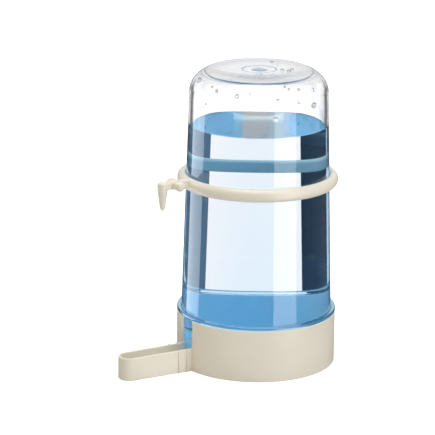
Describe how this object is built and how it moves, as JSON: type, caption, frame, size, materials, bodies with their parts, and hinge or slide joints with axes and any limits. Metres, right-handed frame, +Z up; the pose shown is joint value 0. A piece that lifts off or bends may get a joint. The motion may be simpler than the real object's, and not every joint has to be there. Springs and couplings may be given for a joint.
{
  "type": "bird water fountain",
  "caption": "Gravity bird drinker: a clear tapered reservoir stands mouth down in an ivory cup with a narrow drinking trough; a ring with a hook hangs it on a cage.",
  "frame": {"origin": "on the reservoir's axis, at the cup's flat underside", "axes": "+Z up along the reservoir's axis, -Y out along the drinking trough and the hook"},
  "size_m": [0.0742, 0.1081, 0.1396],
  "materials": {
    "ivory_plastic": "satin moulded ivory plastic",
    "clear_plastic": "polished clear plastic"
  },
  "bodies": {
    "cup": {"cup_with_trough": "ivory_plastic"},
    "reservoir": {"reservoir": "clear_plastic"},
    "ring": {"hanging_ring": "ivory_plastic"}
  },
  "joints": [
    {"name": "reservoir_lift", "type": "slide", "parent": "cup", "child": "reservoir", "axis": [0, 0, 1], "range_m": [0, 0.06]},
    {"name": "ring_slide", "type": "slide", "parent": "reservoir", "child": "ring", "axis": [0, 0, 1], "range_m": [0, 0.07]}
  ]
}
